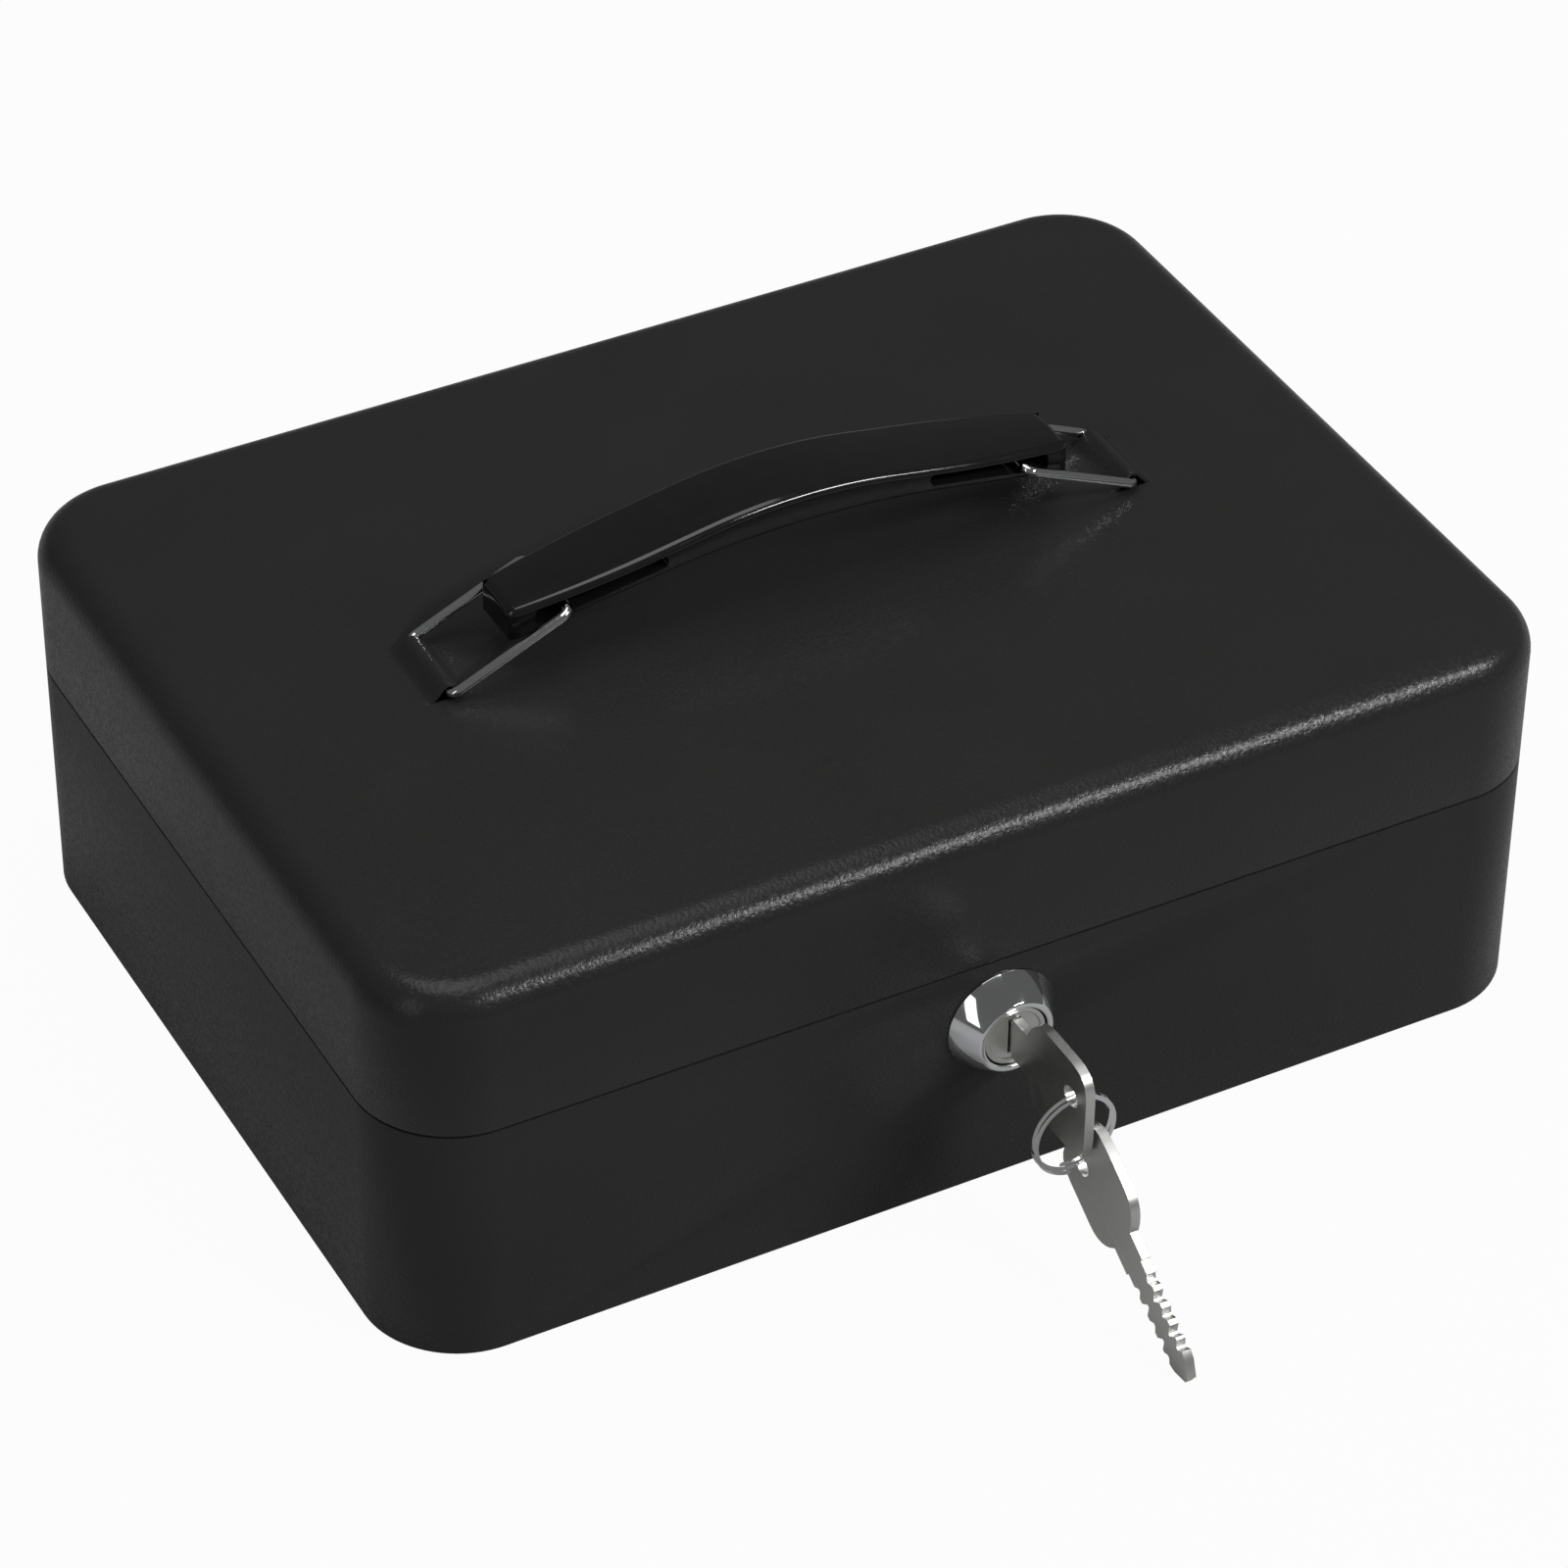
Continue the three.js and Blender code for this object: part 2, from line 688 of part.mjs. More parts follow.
// ---------------------------------------------------------------- coin tray
function coinTray() {
  const { bottom, height, corner, wall, rim, rimDrop, pocketCorner } = tray;
  const neckInside = bandInset + box.sheet;
  const half = halfWidth - neckInside - tray.sideGap;
  const front = lockY + lock.plugBack + lock.camThickness + lock.screwHead + tray.frontGap;
  const back = halfDepth - neckInside - tray.backGap;
  const top = bottom + height;
  const outline = (inset, z) => loop(inset - half, half - inset, front + inset, back - inset,
    corner - inset, z, 5);
  const body = loft([
    outline(rim, bottom),
    outline(rim, top - rimDrop),
    outline(0, top - rimDrop),
    outline(0, top),
  ]);
  const pocket = (x0, x1, y0, y1) => loft([
    loop(x0, x1, y0, y1, pocketCorner, bottom + wall, 3),
    loop(x0, x1, y0, y1, pocketCorner, top + 1, 3),
  ]);
  const inner = half - rim - wall;
  const cupWidth = (2 * inner - (tray.coinCups - 1) * wall) / tray.coinCups;
  const cupFront = front + rim + wall;
  const noteBack = back - rim - wall;
  const cupBack = noteBack - tray.noteDepth - wall;
  const pockets = range(0, tray.coinCups - 1, tray.coinCups - 1).map((i) => {
    const x0 = -inner + i * (cupWidth + wall);
    return pocket(x0, x0 + cupWidth, cupFront, cupBack);
  });
  pockets.push(pocket(-inner, inner, cupBack + wall, noteBack));
  return cut(body, ...pockets);
}

// ---------------------------------------------------------------- assembly
const finishes = {
  powderCoat: { color: 0x2e2e2d, roughness: 0.45, metalness: 0.0 },
  zincPlate: { color: 0xb4b6b8, roughness: 0.35, metalness: 1.0 },
  chrome: { color: 0xe4e6e8, roughness: 0.06, metalness: 1.0 },
  brass: { color: 0xc9a45a, roughness: 0.3, metalness: 1.0 },
  nickel: { color: 0xa6a6a2, roughness: 0.32, metalness: 1.0 },
  blackPlastic: { color: 0x161616, roughness: 0.25, metalness: 0.0 },
  trayPlastic: { color: 0x1d1d1e, roughness: 0.5, metalness: 0.0 },
};

const cashBox = new THREE.Group();

function add(group, name, body, finish) {
  const mesh = new THREE.Mesh(geometry(body), new THREE.MeshStandardMaterial(finishes[finish]));
  mesh.name = name;
  group.add(mesh);
}

const caseGroup = new THREE.Group();
add(caseGroup, 'case_band', caseBand(), 'powderCoat');
add(caseGroup, 'case_floor', caseFloor(), 'powderCoat');
add(caseGroup, 'lock_housing', lockHousing(), 'chrome');
add(caseGroup, 'lock_nut', lockNut(), 'zincPlate');

const lidGroup = new THREE.Group();
add(lidGroup, 'lid_shell', lidShell(), 'powderCoat');
add(lidGroup, 'lid_strike', lidStrike(), 'zincPlate');

for (const [name, side] of [['left', -1], ['right', 1]]) {
  add(caseGroup, `tray_rest_${name}`, trayRest(side), 'powderCoat');
  add(caseGroup, `hinge_case_leaf_${name}`, hingeLeaf(side * hinge.pitch, -1), 'powderCoat');
  add(caseGroup, `hinge_pin_${name}`, hingePin(side * hinge.pitch), 'zincPlate');
  add(lidGroup, `hinge_lid_leaf_${name}`, hingeLeaf(side * hinge.pitch, 1), 'powderCoat');
  add(lidGroup, `bail_${name}`, bailWire(side), 'chrome');
}
add(lidGroup, 'grip', gripBody(), 'blackPlastic');

const lockGroup = new THREE.Group();
add(lockGroup, 'lock_plug', lockPlug(), 'nickel');
add(lockGroup, 'lock_cam', lockCam(), 'zincPlate');
add(lockGroup, 'cam_screw', camScrew(), 'zincPlate');
add(lockGroup, 'lock_key', lockKey(), 'nickel');
add(lockGroup, 'key_ring', keyRing(), 'chrome');
add(lockGroup, 'spare_key', spareKey(), 'nickel');

const trayGroup = new THREE.Group();
add(trayGroup, 'coin_tray', coinTray(), 'trayPlastic');

cashBox.add(caseGroup, lidGroup, lockGroup, trayGroup);

export default cashBox;
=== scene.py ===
# %% [markdown]
# # A steel cash box, finished around its CAD frame
#
# The CAD model fixes every size, hinge and slide of this box. This lesson adds what the eye
# sees: rounded sheet steel with a black powder coat, a moulded grip, bent wire, a chromed lock
# and two keys. The frame is loaded first, and each new piece is then put where the frame says.

import json
import math

import bmesh
import bpy
from mathutils import Matrix, Vector


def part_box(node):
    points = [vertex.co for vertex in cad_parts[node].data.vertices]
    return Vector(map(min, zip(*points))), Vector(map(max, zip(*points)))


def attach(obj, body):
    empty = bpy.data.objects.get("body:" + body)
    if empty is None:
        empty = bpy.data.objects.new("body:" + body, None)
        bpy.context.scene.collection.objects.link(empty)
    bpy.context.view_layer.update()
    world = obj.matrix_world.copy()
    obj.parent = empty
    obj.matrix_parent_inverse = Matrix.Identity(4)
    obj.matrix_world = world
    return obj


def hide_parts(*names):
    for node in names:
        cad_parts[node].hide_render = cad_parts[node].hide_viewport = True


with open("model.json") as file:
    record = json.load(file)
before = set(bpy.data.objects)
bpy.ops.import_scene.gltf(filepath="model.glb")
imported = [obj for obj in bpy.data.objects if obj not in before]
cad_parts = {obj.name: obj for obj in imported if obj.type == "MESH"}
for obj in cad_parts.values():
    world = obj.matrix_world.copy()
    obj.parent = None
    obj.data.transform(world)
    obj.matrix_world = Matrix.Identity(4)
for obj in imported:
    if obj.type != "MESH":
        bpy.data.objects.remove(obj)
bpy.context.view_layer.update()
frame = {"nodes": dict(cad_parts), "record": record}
MM = 0.001

# %% [markdown]
# The camera stands in front of the box, to the left and well above it, with a long lens from
# more than a metre away, so the box's edges stay nearly parallel. It is made first, because
# every later choice is judged through it.

# %% Camera
CAMERA_PLACE = (-0.4551, -0.8456, 0.7894)
CAMERA_AZIMUTH = -28.38
CAMERA_ELEVATION = 38.26
CAMERA_ROLL = 0.6
CAMERA_LENS = 140.2

bpy.ops.object.camera_add(location=CAMERA_PLACE)
camera = bpy.context.object
turn = Matrix.Rotation(math.radians(CAMERA_AZIMUTH), 3, "Z")
tilt = Matrix.Rotation(math.radians(90 - CAMERA_ELEVATION), 3, "X")
roll = Matrix.Rotation(math.radians(CAMERA_ROLL), 3, "Z")
camera.rotation_euler = (turn @ tilt @ roll).to_euler()
camera.data.lens = CAMERA_LENS
camera.data.sensor_width = 36
camera.data.clip_start = 0.05
bpy.context.scene.camera = camera
print("camera distance:", round(camera.location.length, 3))

# %% [markdown]
# A few helpers come before the first piece. Operators act on whatever is selected, so `only`
# leaves one object selected, and `pick` selects parts of the mesh being edited by a test on
# their place or direction, which is what a click does by hand.


# %% Selection helpers
def only(piece):
    bpy.ops.object.select_all(action="DESELECT")
    piece.select_set(True)
    bpy.context.view_layer.objects.active = piece


def edit(piece, mode="VERT"):
    only(piece)
    bpy.ops.object.mode_set(mode="EDIT")
    bpy.ops.mesh.select_mode(type=mode)


def leave():
    bpy.ops.object.mode_set(mode="OBJECT")


def pick(kind, test):
    bpy.ops.mesh.select_all(action="DESELECT")
    shape = bmesh.from_edit_mesh(bpy.context.object.data)
    chosen = [item for item in getattr(shape, kind) if test(item)]
    for item in chosen:
        item.select_set(True)
    shape.select_flush_mode()
    bmesh.update_edit_mesh(bpy.context.object.data)
    return len(chosen)


def middle(edge):
    return (edge.verts[0].co + edge.verts[1].co) / 2


def along(edge, axis):
    step = edge.verts[0].co - edge.verts[1].co
    return step.length > 0 and abs(step[axis]) > 0.999 * step.length


def sharp(edge, angle=50):
    return len(edge.link_faces) == 2 and edge.calc_face_angle() > math.radians(angle)


# %% [markdown]
# Every piece starts as a primitive at its real size. `cube` and `cylinder` add one between two
# corners or two ends, with its size applied, so that the numbers in edit mode are true metres.


# %% Primitive helpers
def settle(piece):
    only(piece)
    bpy.ops.object.transform_apply(location=True, rotation=True, scale=True)


def cube(name, low, high):
    centre = [(a + b) / 2 for a, b in zip(low, high)]
    bpy.ops.mesh.primitive_cube_add(size=1, location=centre)
    piece = bpy.context.object
    piece.name = name
    piece.scale = [b - a for a, b in zip(low, high)]
    settle(piece)
    return piece


def cylinder(name, radius, centre, depth, axis="Y", sides=48):
    turns = {"X": (0, math.pi / 2, 0), "Y": (math.pi / 2, 0, 0), "Z": (0, 0, 0)}
    bpy.ops.mesh.primitive_cylinder_add(
        radius=radius, depth=depth, vertices=sides, location=centre, rotation=turns[axis])
    piece = bpy.context.object
    piece.name = name
    settle(piece)
    return piece


# %% [markdown]
# Modifiers finish a shape, and each is applied at once, so the mesh that is kept is plain. A
# boolean takes a cutter away from a piece and the cutter is then deleted.


# %% Modifier helpers
def apply_modifier(piece, kind, **settings):
    only(piece)
    modifier = piece.modifiers.new(kind.title(), kind)
    for name, value in settings.items():
        setattr(modifier, name, value)
    bpy.ops.object.modifier_apply(modifier=modifier.name)


def carve(piece, cutter, operation="DIFFERENCE"):
    apply_modifier(piece, "BOOLEAN", operation=operation, object=cutter, solver="EXACT")
    bpy.data.objects.remove(cutter, do_unlink=True)


def soften(piece, width, segments=2, angle=30):
    apply_modifier(piece, "BEVEL", width=width, segments=segments, limit_method="ANGLE",
                   angle_limit=math.radians(angle), miter_outer="MITER_ARC", use_clamp_overlap=True)


def smooth(piece, angle=35):
    only(piece)
    bpy.ops.object.shade_smooth_by_angle(angle=math.radians(angle))


# %% [markdown]
# ## Finishes
#
# A finish is a small node graph. The powder coat is the main one: black paint baked from
# powder has a very fine grain, like the skin of an orange seen from far away, which breaks a
# highlight into sparks. Two noises in Object coordinates make the grain, one through Bump and
# one through roughness.


# %% Node helpers
def new_material(name, color, roughness, metallic=0.0, specular=0.5):
    material = bpy.data.materials.new(name)
    material.use_nodes = True
    shader = material.node_tree.nodes["Principled BSDF"]
    shader.inputs["Base Color"].default_value = (*color, 1)
    shader.inputs["Roughness"].default_value = roughness
    shader.inputs["Metallic"].default_value = metallic
    shader.inputs["Specular IOR Level"].default_value = specular
    return material, shader


def node(material, kind, **settings):
    made = material.node_tree.nodes.new(kind)
    for name, value in settings.items():
        if name in made.inputs:
            made.inputs[name].default_value = value
        else:
            setattr(made, name, value)
    return made


def link(material, source, target):
    material.node_tree.links.new(source, target)


def noise(material, scale, detail=3.0, stretch=(1, 1, 1)):
    place = node(material, "ShaderNodeTexCoord")
    mapping = node(material, "ShaderNodeMapping")
    mapping.inputs["Scale"].default_value = stretch
    texture = node(material, "ShaderNodeTexNoise", Scale=scale, Detail=detail)
    link(material, place.outputs["Object"], mapping.inputs["Vector"])
    link(material, mapping.outputs["Vector"], texture.inputs["Vector"])
    return texture.outputs["Fac"]


def spread(material, value, low, high):
    ramp = node(material, "ShaderNodeMapRange")
    ramp.inputs["To Min"].default_value = low
    ramp.inputs["To Max"].default_value = high
    ramp.inputs["From Min"].default_value = 0.3
    ramp.inputs["From Max"].default_value = 0.7
    link(material, value, ramp.inputs["Value"])
    return ramp.outputs["Result"]


def tint(material, shader, value, dark, light):
    mix = node(material, "ShaderNodeMix", data_type="RGBA")
    mix.inputs[6].default_value = (*dark, 1)
    mix.inputs[7].default_value = (*light, 1)
    link(material, value, mix.inputs[0])
    link(material, mix.outputs[2], shader.inputs["Base Color"])


def grain(material, shader, value, strength, distance):
    bump = node(material, "ShaderNodeBump", Strength=strength, Distance=distance)
    link(material, value, bump.inputs["Height"])
    link(material, bump.outputs["Normal"], shader.inputs["Normal"])
    return bump


# %% The finishes
def powder_coat():
    material, shader = new_material("powder_coat", (0.016, 0.016, 0.0158), 0.35, specular=0.2)
    fine = noise(material, 1300, 2)
    broad = noise(material, 34, 3)
    tint(material, shader, broad, (0.015, 0.015, 0.0147), (0.0185, 0.0185, 0.0182))
    link(material, spread(material, fine, 0.18, 0.36), shader.inputs["Roughness"])
    grain(material, shader, fine, 0.7, 0.00014)
    return material


def plated(name, color, rough_low, rough_high, scale=700, strength=0.05, stretch=(1, 1, 1)):
    material, shader = new_material(name, color, rough_low, metallic=1.0)
    texture = noise(material, scale, 4, stretch)
    tint(material, shader, texture, tuple(0.95 * c for c in color), color)
    link(material, spread(material, texture, rough_low, rough_high), shader.inputs["Roughness"])
    grain(material, shader, texture, strength, 0.00005)
    return material


def gloss_plastic():
    material, shader = new_material("grip_plastic", (0.006, 0.006, 0.006), 0.12, specular=0.45)
    texture = noise(material, 260, 3)
    tint(material, shader, texture, (0.005, 0.005, 0.005), (0.0075, 0.0075, 0.0075))
    link(material, spread(material, texture, 0.09, 0.16), shader.inputs["Roughness"])
    grain(material, shader, noise(material, 90, 2), 0.06, 0.0002)
    return material


def moulded_tray():
    material, shader = new_material("tray_plastic", (0.02, 0.02, 0.021), 0.5, specular=0.4)
    texture = noise(material, 1500, 2)
    tint(material, shader, texture, (0.017, 0.017, 0.018), (0.024, 0.024, 0.025))
    link(material, spread(material, texture, 0.42, 0.6), shader.inputs["Roughness"])
    grain(material, shader, texture, 0.3, 0.0001)
    return material


FINISHES = {
    "powder_coat": powder_coat(),
    "chrome": plated("chrome", (0.80, 0.81, 0.82), 0.03, 0.09, scale=300, strength=0.02),
    "nickel": plated("nickel", (0.66, 0.66, 0.64), 0.34, 0.4, scale=300, strength=0.01),
    "zinc_plate": plated("zinc_plate", (0.55, 0.56, 0.57), 0.25, 0.45, scale=500, strength=0.1),
    "grip_plastic": gloss_plastic(),
    "tray_plastic": moulded_tray(),
}
print("finishes:", ", ".join(FINISHES))


# %% Hand a piece over to the frame
def hand_over(piece, body, finish, *stands_for):
    piece.data.materials.clear()
    piece.data.materials.append(FINISHES[finish])
    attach(piece, body)
    if stands_for:
        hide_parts(*stands_for)
    print(piece.name, "faces:", len(piece.data.polygons), "on", body)


# %% [markdown]
# ## Lid
#
# The lid is drawn from one sheet: a box with large upright corners and a smaller radius round
# the top. A cube becomes that shape with two bevels, first the four upright edges and then the
# loop round the top face. The bottom face is deleted and Solidify gives the open shell its
# sheet thickness, so the skirt's edge shows real metal.

# %% Lid shell
SHEET = 0.8 * MM
CORNER = 20 * MM
TOP_RADIUS = 7.5 * MM
EDGE_ROUND = 0.25 * MM
lid_low, lid_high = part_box("lid_shell")
case_low, case_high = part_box("case_band")
BRIDGE_RISE = 3.5 * MM
LID_TOP = lid_high[2] - BRIDGE_RISE
SEAM = lid_low[2]
CASE_TOP = SEAM - 0.4 * MM


def upright(edge):
    return along(edge, 2)


def round_box(name, low, high, radius, segments):
    piece = cube(name, low, high)
    edit(piece, "EDGE")
    pick("edges", upright)
    bpy.ops.mesh.bevel(offset=radius, segments=segments, affect="EDGES")
    leave()
    return piece


lid = round_box("lid", lid_low, (lid_high[0], lid_high[1], LID_TOP), CORNER, 20)
edit(lid, "EDGE")
pick("edges", lambda edge: min(v.co.z for v in edge.verts) > LID_TOP - 0.01 * MM)
bpy.ops.mesh.bevel(offset=TOP_RADIUS, segments=12, affect="EDGES")
bpy.ops.mesh.select_mode(type="FACE")
pick("faces", lambda face: face.normal.z < -0.9)
bpy.ops.mesh.delete(type="FACE")
leave()
apply_modifier(lid, "SOLIDIFY", thickness=SHEET, offset=-1, use_even_offset=True)
soften(lid, 0.22 * MM, 2, 50)
print("lid top at", round(LID_TOP / MM, 2), "mm, seam at", round(SEAM / MM, 2), "mm")

# %% [markdown]
# Each bail is held by a bridge: two slits are cut in the sheet and the strip between them is
# pressed up. The slit ends show as small eyes. A grid stands for the strip, and proportional
# editing with a smooth falloff lifts its middle line, as pressing does. Its two free edges are
# rounded, its feet stay level with the sheet, and it is joined into a window of the same size.

# %% Pressed bridges
BRIDGE_AT = 75 * MM
BRIDGE_HALF = 5 * MM
BRIDGE_REACH = 4.7 * MM
BRIDGE_LENGTH = 17.2 * MM

for side in (-1, 1):
    window = cube("window", (side * BRIDGE_AT - BRIDGE_HALF, -BRIDGE_LENGTH / 2, LID_TOP - 3 * MM),
                  (side * BRIDGE_AT + BRIDGE_HALF, BRIDGE_LENGTH / 2, LID_TOP + 3 * MM))
    carve(lid, window)

strips = []
for side in (-1, 1):
    bpy.ops.mesh.primitive_grid_add(x_subdivisions=40, y_subdivisions=8, size=1,
                                    location=(side * BRIDGE_AT, 0, LID_TOP))
    strip = bpy.context.object
    strip.scale = (2 * BRIDGE_HALF, BRIDGE_LENGTH, 1)
    settle(strip)
    edit(strip)
    pick("verts", lambda vert: abs(vert.co.x - side * BRIDGE_AT) < 0.01 * MM)
    bpy.ops.transform.translate(value=(0, 0, BRIDGE_RISE), use_proportional_edit=True,
                                proportional_edit_falloff="SMOOTH", proportional_size=BRIDGE_REACH)
    leave()
    apply_modifier(strip, "SOLIDIFY", thickness=SHEET, offset=-1)
    edit(strip, "EDGE")
    pick("edges", lambda edge: not along(edge, 1) and sharp(edge)
         and abs(abs(middle(edge).y) - BRIDGE_LENGTH / 2) < 0.01 * MM)
    bpy.ops.mesh.bevel(offset=EDGE_ROUND, segments=3, affect="EDGES")
    leave()
    strips.append(strip)
    print("bridge top:", round(max(v.co.z for v in strip.data.vertices) / MM, 2), "mm")

only(lid)
for strip in strips:
    strip.select_set(True)
bpy.ops.object.join()
smooth(lid, 40)
hand_over(lid, "lid", "powder_coat", "lid_shell")

# %% [markdown]
# ## Case
#
# The case wall is the same rounded outline. Its upper edge steps in under the lid and rises as
# a neck, so the closed lid lies flush with the wall. The step is two extrudes of the open upper
# loop: one drawn in level, one straight up.

# %% Case wall
NECK_INSET = 1.2 * MM
case = round_box("case_wall", (case_low[0], case_low[1], 0), (case_high[0], case_high[1], CASE_TOP),
                 CORNER, 20)
edit(case, "FACE")
pick("faces", lambda face: abs(face.normal.z) > 0.9)
bpy.ops.mesh.delete(type="FACE")
bpy.ops.mesh.select_mode(type="EDGE")
pick("edges", lambda edge: min(v.co.z for v in edge.verts) > CASE_TOP - 0.01 * MM)
bpy.ops.mesh.extrude_region_move()
width = case_high[0] - case_low[0]
depth = case_high[1] - case_low[1]
bpy.ops.transform.resize(value=(1 - 2 * NECK_INSET / width, 1 - 2 * NECK_INSET / depth, 1),
                         center_override=(0, 0, CASE_TOP))
bpy.ops.mesh.extrude_region_move(TRANSFORM_OT_translate={"value": (0, 0, case_high[2] - CASE_TOP)})
leave()
apply_modifier(case, "SOLIDIFY", thickness=SHEET, offset=-1)

lock_low, lock_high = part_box("lock_housing")
LOCK_Z = (lock_low[2] + lock_high[2]) / 2
FRONT = case_low[1]
carve(case, cylinder("lock_hole", 8 * MM, (0, FRONT, LOCK_Z), 6 * MM, sides=64))
soften(case, EDGE_ROUND, 2, 50)
smooth(case, 40)
hand_over(case, "case", "powder_coat", "case_band")

# %% [markdown]
# ## Grip
#
# The grip is one moulding: an arch that thins towards its ends, with a slot through each end
# for the bail's cross bar. A flat grid has one row of points for each station along the grip.
# It is extruded to get an underside, and each station is then lifted and narrowed to the
# arch's formula.

# %% Grip arch
grip_low, grip_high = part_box("grip")
GRIP_HALF = grip_high[0]
GRIP_WIDTH = grip_high[1] - grip_low[1]
TOP_HEIGHT = 23.1 * MM
TOP_ARC = 110 * MM
TOP_SLOPE = 0.175
BOTTOM_HEIGHT = 16.1 * MM
BOTTOM_ARC = 195 * MM
PARALLEL = 32 * MM
CROWN = 0.55 * MM
END_TAPER = 0.27
TAPER_POWER = 1.8


def top_at(x):
    curved = min(abs(x), TOP_ARC * TOP_SLOPE)
    return LID_TOP + TOP_HEIGHT - curved ** 2 / (2 * TOP_ARC) - (abs(x) - curved) * TOP_SLOPE


def bottom_at(x):
    return LID_TOP + BOTTOM_HEIGHT - x ** 2 / (2 * BOTTOM_ARC)


def half_width_at(x):
    past = max(0, abs(x) - PARALLEL) / (GRIP_HALF - PARALLEL)
    return GRIP_WIDTH / 2 * (1 - END_TAPER * past ** TAPER_POWER)


def arch(name, half_length, stations, rows, low, high, half_width, centre=0):
    bpy.ops.mesh.primitive_grid_add(x_subdivisions=stations, y_subdivisions=rows, size=1,
                                    location=(centre, 0, 0))
    piece = bpy.context.object
    piece.name = name
    piece.scale = (2 * half_length, 2 * half_width(0), 1)
    settle(piece)
    edit(piece)
    bpy.ops.mesh.select_all(action="SELECT")
    bpy.ops.mesh.extrude_region_move(TRANSFORM_OT_translate={"value": (0, 0, 1 * MM)})
    for i in range(stations + 1):
        x = centre - half_length + 2 * half_length * i / stations
        for level, height in ((0, low(x)), (1 * MM, high(x))):
            pick("verts", lambda vert: abs(vert.co.x - x) < 0.01 * MM
                 and abs(vert.co.z - level) < 0.01 * MM)
            bpy.ops.transform.translate(value=(0, 0, height - level))
            scale = half_width(x) / half_width(0)
            bpy.ops.transform.resize(value=(1, scale, 1), center_override=(x, 0, height))
    leave()
    return piece


grip = arch("grip_moulding", GRIP_HALF, 56, 12, bottom_at, lambda x: top_at(x) - CROWN, half_width_at)
edit(grip)
for i in range(1, 6):
    row = GRIP_WIDTH / 2 * i / 6
    lift = CROWN * (1 - (i / 6) ** 2)
    pick("verts", lambda vert: abs(abs(vert.co.y) / half_width_at(vert.co.x) - i / 6) < 0.02
         and vert.co.z > top_at(vert.co.x) - 1.5 * CROWN)
    bpy.ops.transform.translate(value=(0, 0, lift))
pick("verts", lambda vert: abs(vert.co.y) < 0.05 * MM and vert.co.z > top_at(vert.co.x) - 1.5 * CROWN)
bpy.ops.transform.translate(value=(0, 0, CROWN))
leave()
print("grip top:", round(max(v.co.z for v in grip.data.vertices) / MM, 2), "mm")

# %% [markdown]
# The long edges are rounded while the mesh is still a clean grid, since a bevel works best
# there: first the four upright ends, then the upper and lower outlines. The slots follow the
# arch, so their cutter is made by the same function and taken away afterwards.

# %% Grip edges and slots
SLOT_INNER = 28.5 * MM
SLOT_OUTER = 56 * MM
RAIL = 1.4 * MM
COVER = 1.8 * MM


edit(grip, "EDGE")
pick("edges", lambda edge: sharp(edge) and abs(middle(edge).x) > GRIP_HALF - 0.1 * MM
     and upright(edge))
bpy.ops.mesh.bevel(offset=1.9 * MM, segments=5, affect="EDGES")
pick("edges", lambda edge: sharp(edge, 40) and middle(edge).z > top_at(middle(edge).x) - 2 * MM)
bpy.ops.mesh.bevel(offset=1.5 * MM, segments=5, affect="EDGES")
pick("edges", lambda edge: sharp(edge, 40) and middle(edge).z < bottom_at(middle(edge).x) + 1 * MM)
bpy.ops.mesh.bevel(offset=0.7 * MM, segments=3, affect="EDGES")
leave()

slot_middle = (SLOT_INNER + SLOT_OUTER) / 2
slot_half = (SLOT_OUTER - SLOT_INNER) / 2
for side in (-1, 1):
    slot = arch("slot", slot_half, 14, 2, lambda x: bottom_at(x) + RAIL, lambda x: top_at(x) - COVER,
                lambda x: GRIP_WIDTH, centre=side * slot_middle)
    edit(slot, "EDGE")
    pick("edges", lambda edge: along(edge, 1)
         and abs(abs(middle(edge).x) - slot_middle) > slot_half - 0.1 * MM)
    bpy.ops.mesh.bevel(offset=0.9 * MM, segments=4, affect="EDGES")
    leave()
    carve(grip, slot)
smooth(grip, 40)
hand_over(grip, "handle_grip", "grip_plastic", "grip")

# %% [markdown]
# ## Bails
#
# A bail is one piece of round wire bent into a loop, its two ends meeting under the bridge. It
# is made the way a wire former makes it: a disc is extruded for each straight and spun through
# a quarter turn for each bend, always carrying the last ring of points along.

# %% Wire former
WIRE = 1.0 * MM
LEG = 27.5 * MM
SPAN = 9.8 * MM
BEND = 2.0 * MM
END_GAP = 0.6 * MM
BAIL_ANGLE = math.radians(24)
PIVOT_Z = LID_TOP + 1.4 * MM


def bent_wire(name, start, heading, steps, radius, bend, plane_normal):
    turn_to = heading.to_track_quat("Z", "Y").to_euler()
    bpy.ops.mesh.primitive_circle_add(vertices=20, radius=radius, fill_type="NGON",
                                      location=start, rotation=turn_to)
    piece = bpy.context.object
    piece.name = name
    settle(piece)
    edit(piece)
    bpy.ops.mesh.select_all(action="SELECT")
    place = Vector(start)
    for kind, amount in steps:
        if kind == "straight":
            bpy.ops.mesh.extrude_region_move(TRANSFORM_OT_translate={"value": heading * amount})
            place = place + heading * amount
        else:
            inward = plane_normal.cross(heading) * amount
            centre = place + inward * bend
            bpy.ops.mesh.spin(steps=8, angle=-amount * math.pi / 2, center=centre, axis=plane_normal)
            place = centre + heading * bend
            heading = inward
    leave()
    edit(piece)
    bpy.ops.mesh.select_all(action="SELECT")
    bpy.ops.mesh.remove_doubles(threshold=1e-6)
    bpy.ops.mesh.normals_make_consistent(inside=False)
    leave()
    return piece, place


